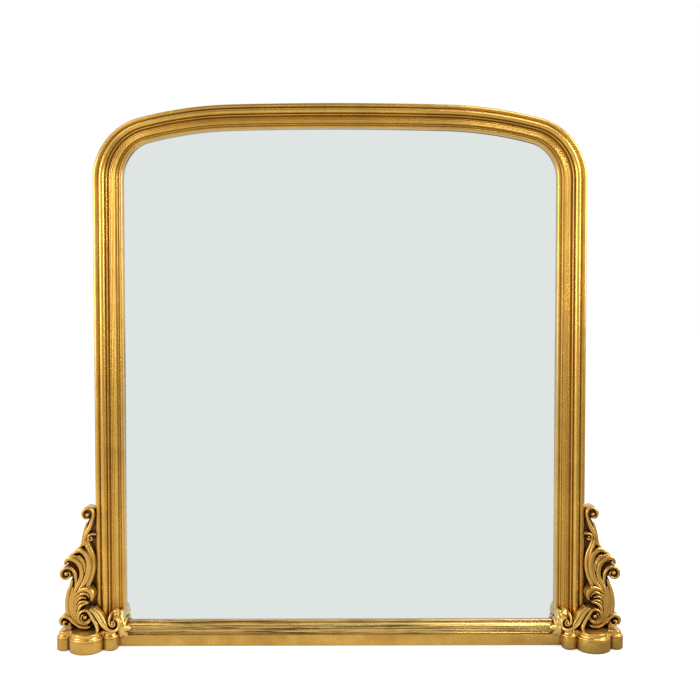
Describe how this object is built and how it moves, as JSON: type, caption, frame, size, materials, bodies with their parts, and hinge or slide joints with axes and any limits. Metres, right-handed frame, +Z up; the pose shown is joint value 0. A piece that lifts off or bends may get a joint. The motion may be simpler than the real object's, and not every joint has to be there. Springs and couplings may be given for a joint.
{
  "type": "overmantle mirror",
  "caption": "Arched gilt overmantle mirror: swept moulded frame with rounded shoulders, carved scroll brackets on lobed plinth blocks, and hanging rings behind.",
  "frame": {"origin": "ground level under the middle of the bounding box", "axes": "+X right, +Y towards the wall, +Z up; the glass faces -Y"},
  "size_m": [1.32, 0.122, 1.27],
  "materials": {
    "gilt": "gold leaf over wood and gesso, burnished, lightly rubbed",
    "mirror": "silvered",
    "board": "plain hardboard",
    "steel": "zinc plated",
    "rubber": "matt",
    "felt": "felt"
  },
  "bodies": {
    "frame": {"left_stile": "gilt", "right_stile": "gilt", "left_shoulder": "gilt", "right_shoulder": "gilt", "crown_rail": "gilt", "sill_rail": "gilt", "plinth_rail": "gilt", "left_plinth_block": "gilt", "right_plinth_block": "gilt", "left_plinth_cap": "gilt", "right_plinth_cap": "gilt", "left_scroll_bracket": "gilt", "right_scroll_bracket": "gilt", "left_foot_leaf": "gilt", "right_foot_leaf": "gilt", "left_corner_leaf": "gilt", "right_corner_leaf": "gilt", "mirror_glass": "mirror", "backboard": "board", "glazing_points": "steel", "left_setting_block": "rubber", "right_setting_block": "rubber", "left_crown_plate": "steel", "right_crown_plate": "steel", "left_shoulder_plate": "steel", "right_shoulder_plate": "steel", "left_foot_plate": "steel", "right_foot_plate": "steel", "left_bracket_plate": "steel", "right_bracket_plate": "steel", "plate_screws": "steel", "left_hanger_strap": "steel", "right_hanger_strap": "steel", "hanger_screws": "steel", "left_top_bumper": "rubber", "right_top_bumper": "rubber", "left_low_bumper": "rubber", "right_low_bumper": "rubber", "block_screws": "steel", "left_base_pad": "felt", "right_base_pad": "felt"},
    "left_ring": {"left_hanging_ring": "steel"},
    "right_ring": {"right_hanging_ring": "steel"}
  },
  "joints": [
    {"name": "left_ring_hinge", "type": "hinge", "parent": "frame", "child": "left_ring", "pos_m": [-0.54597, 0.0562, 0.92994], "axis": [1, 0, 0], "range_deg": [-1.5, 178]},
    {"name": "right_ring_hinge", "type": "hinge", "parent": "frame", "child": "right_ring", "pos_m": [0.54597, 0.0562, 0.92994], "axis": [1, 0, 0], "range_deg": [-1.5, 178]}
  ]
}
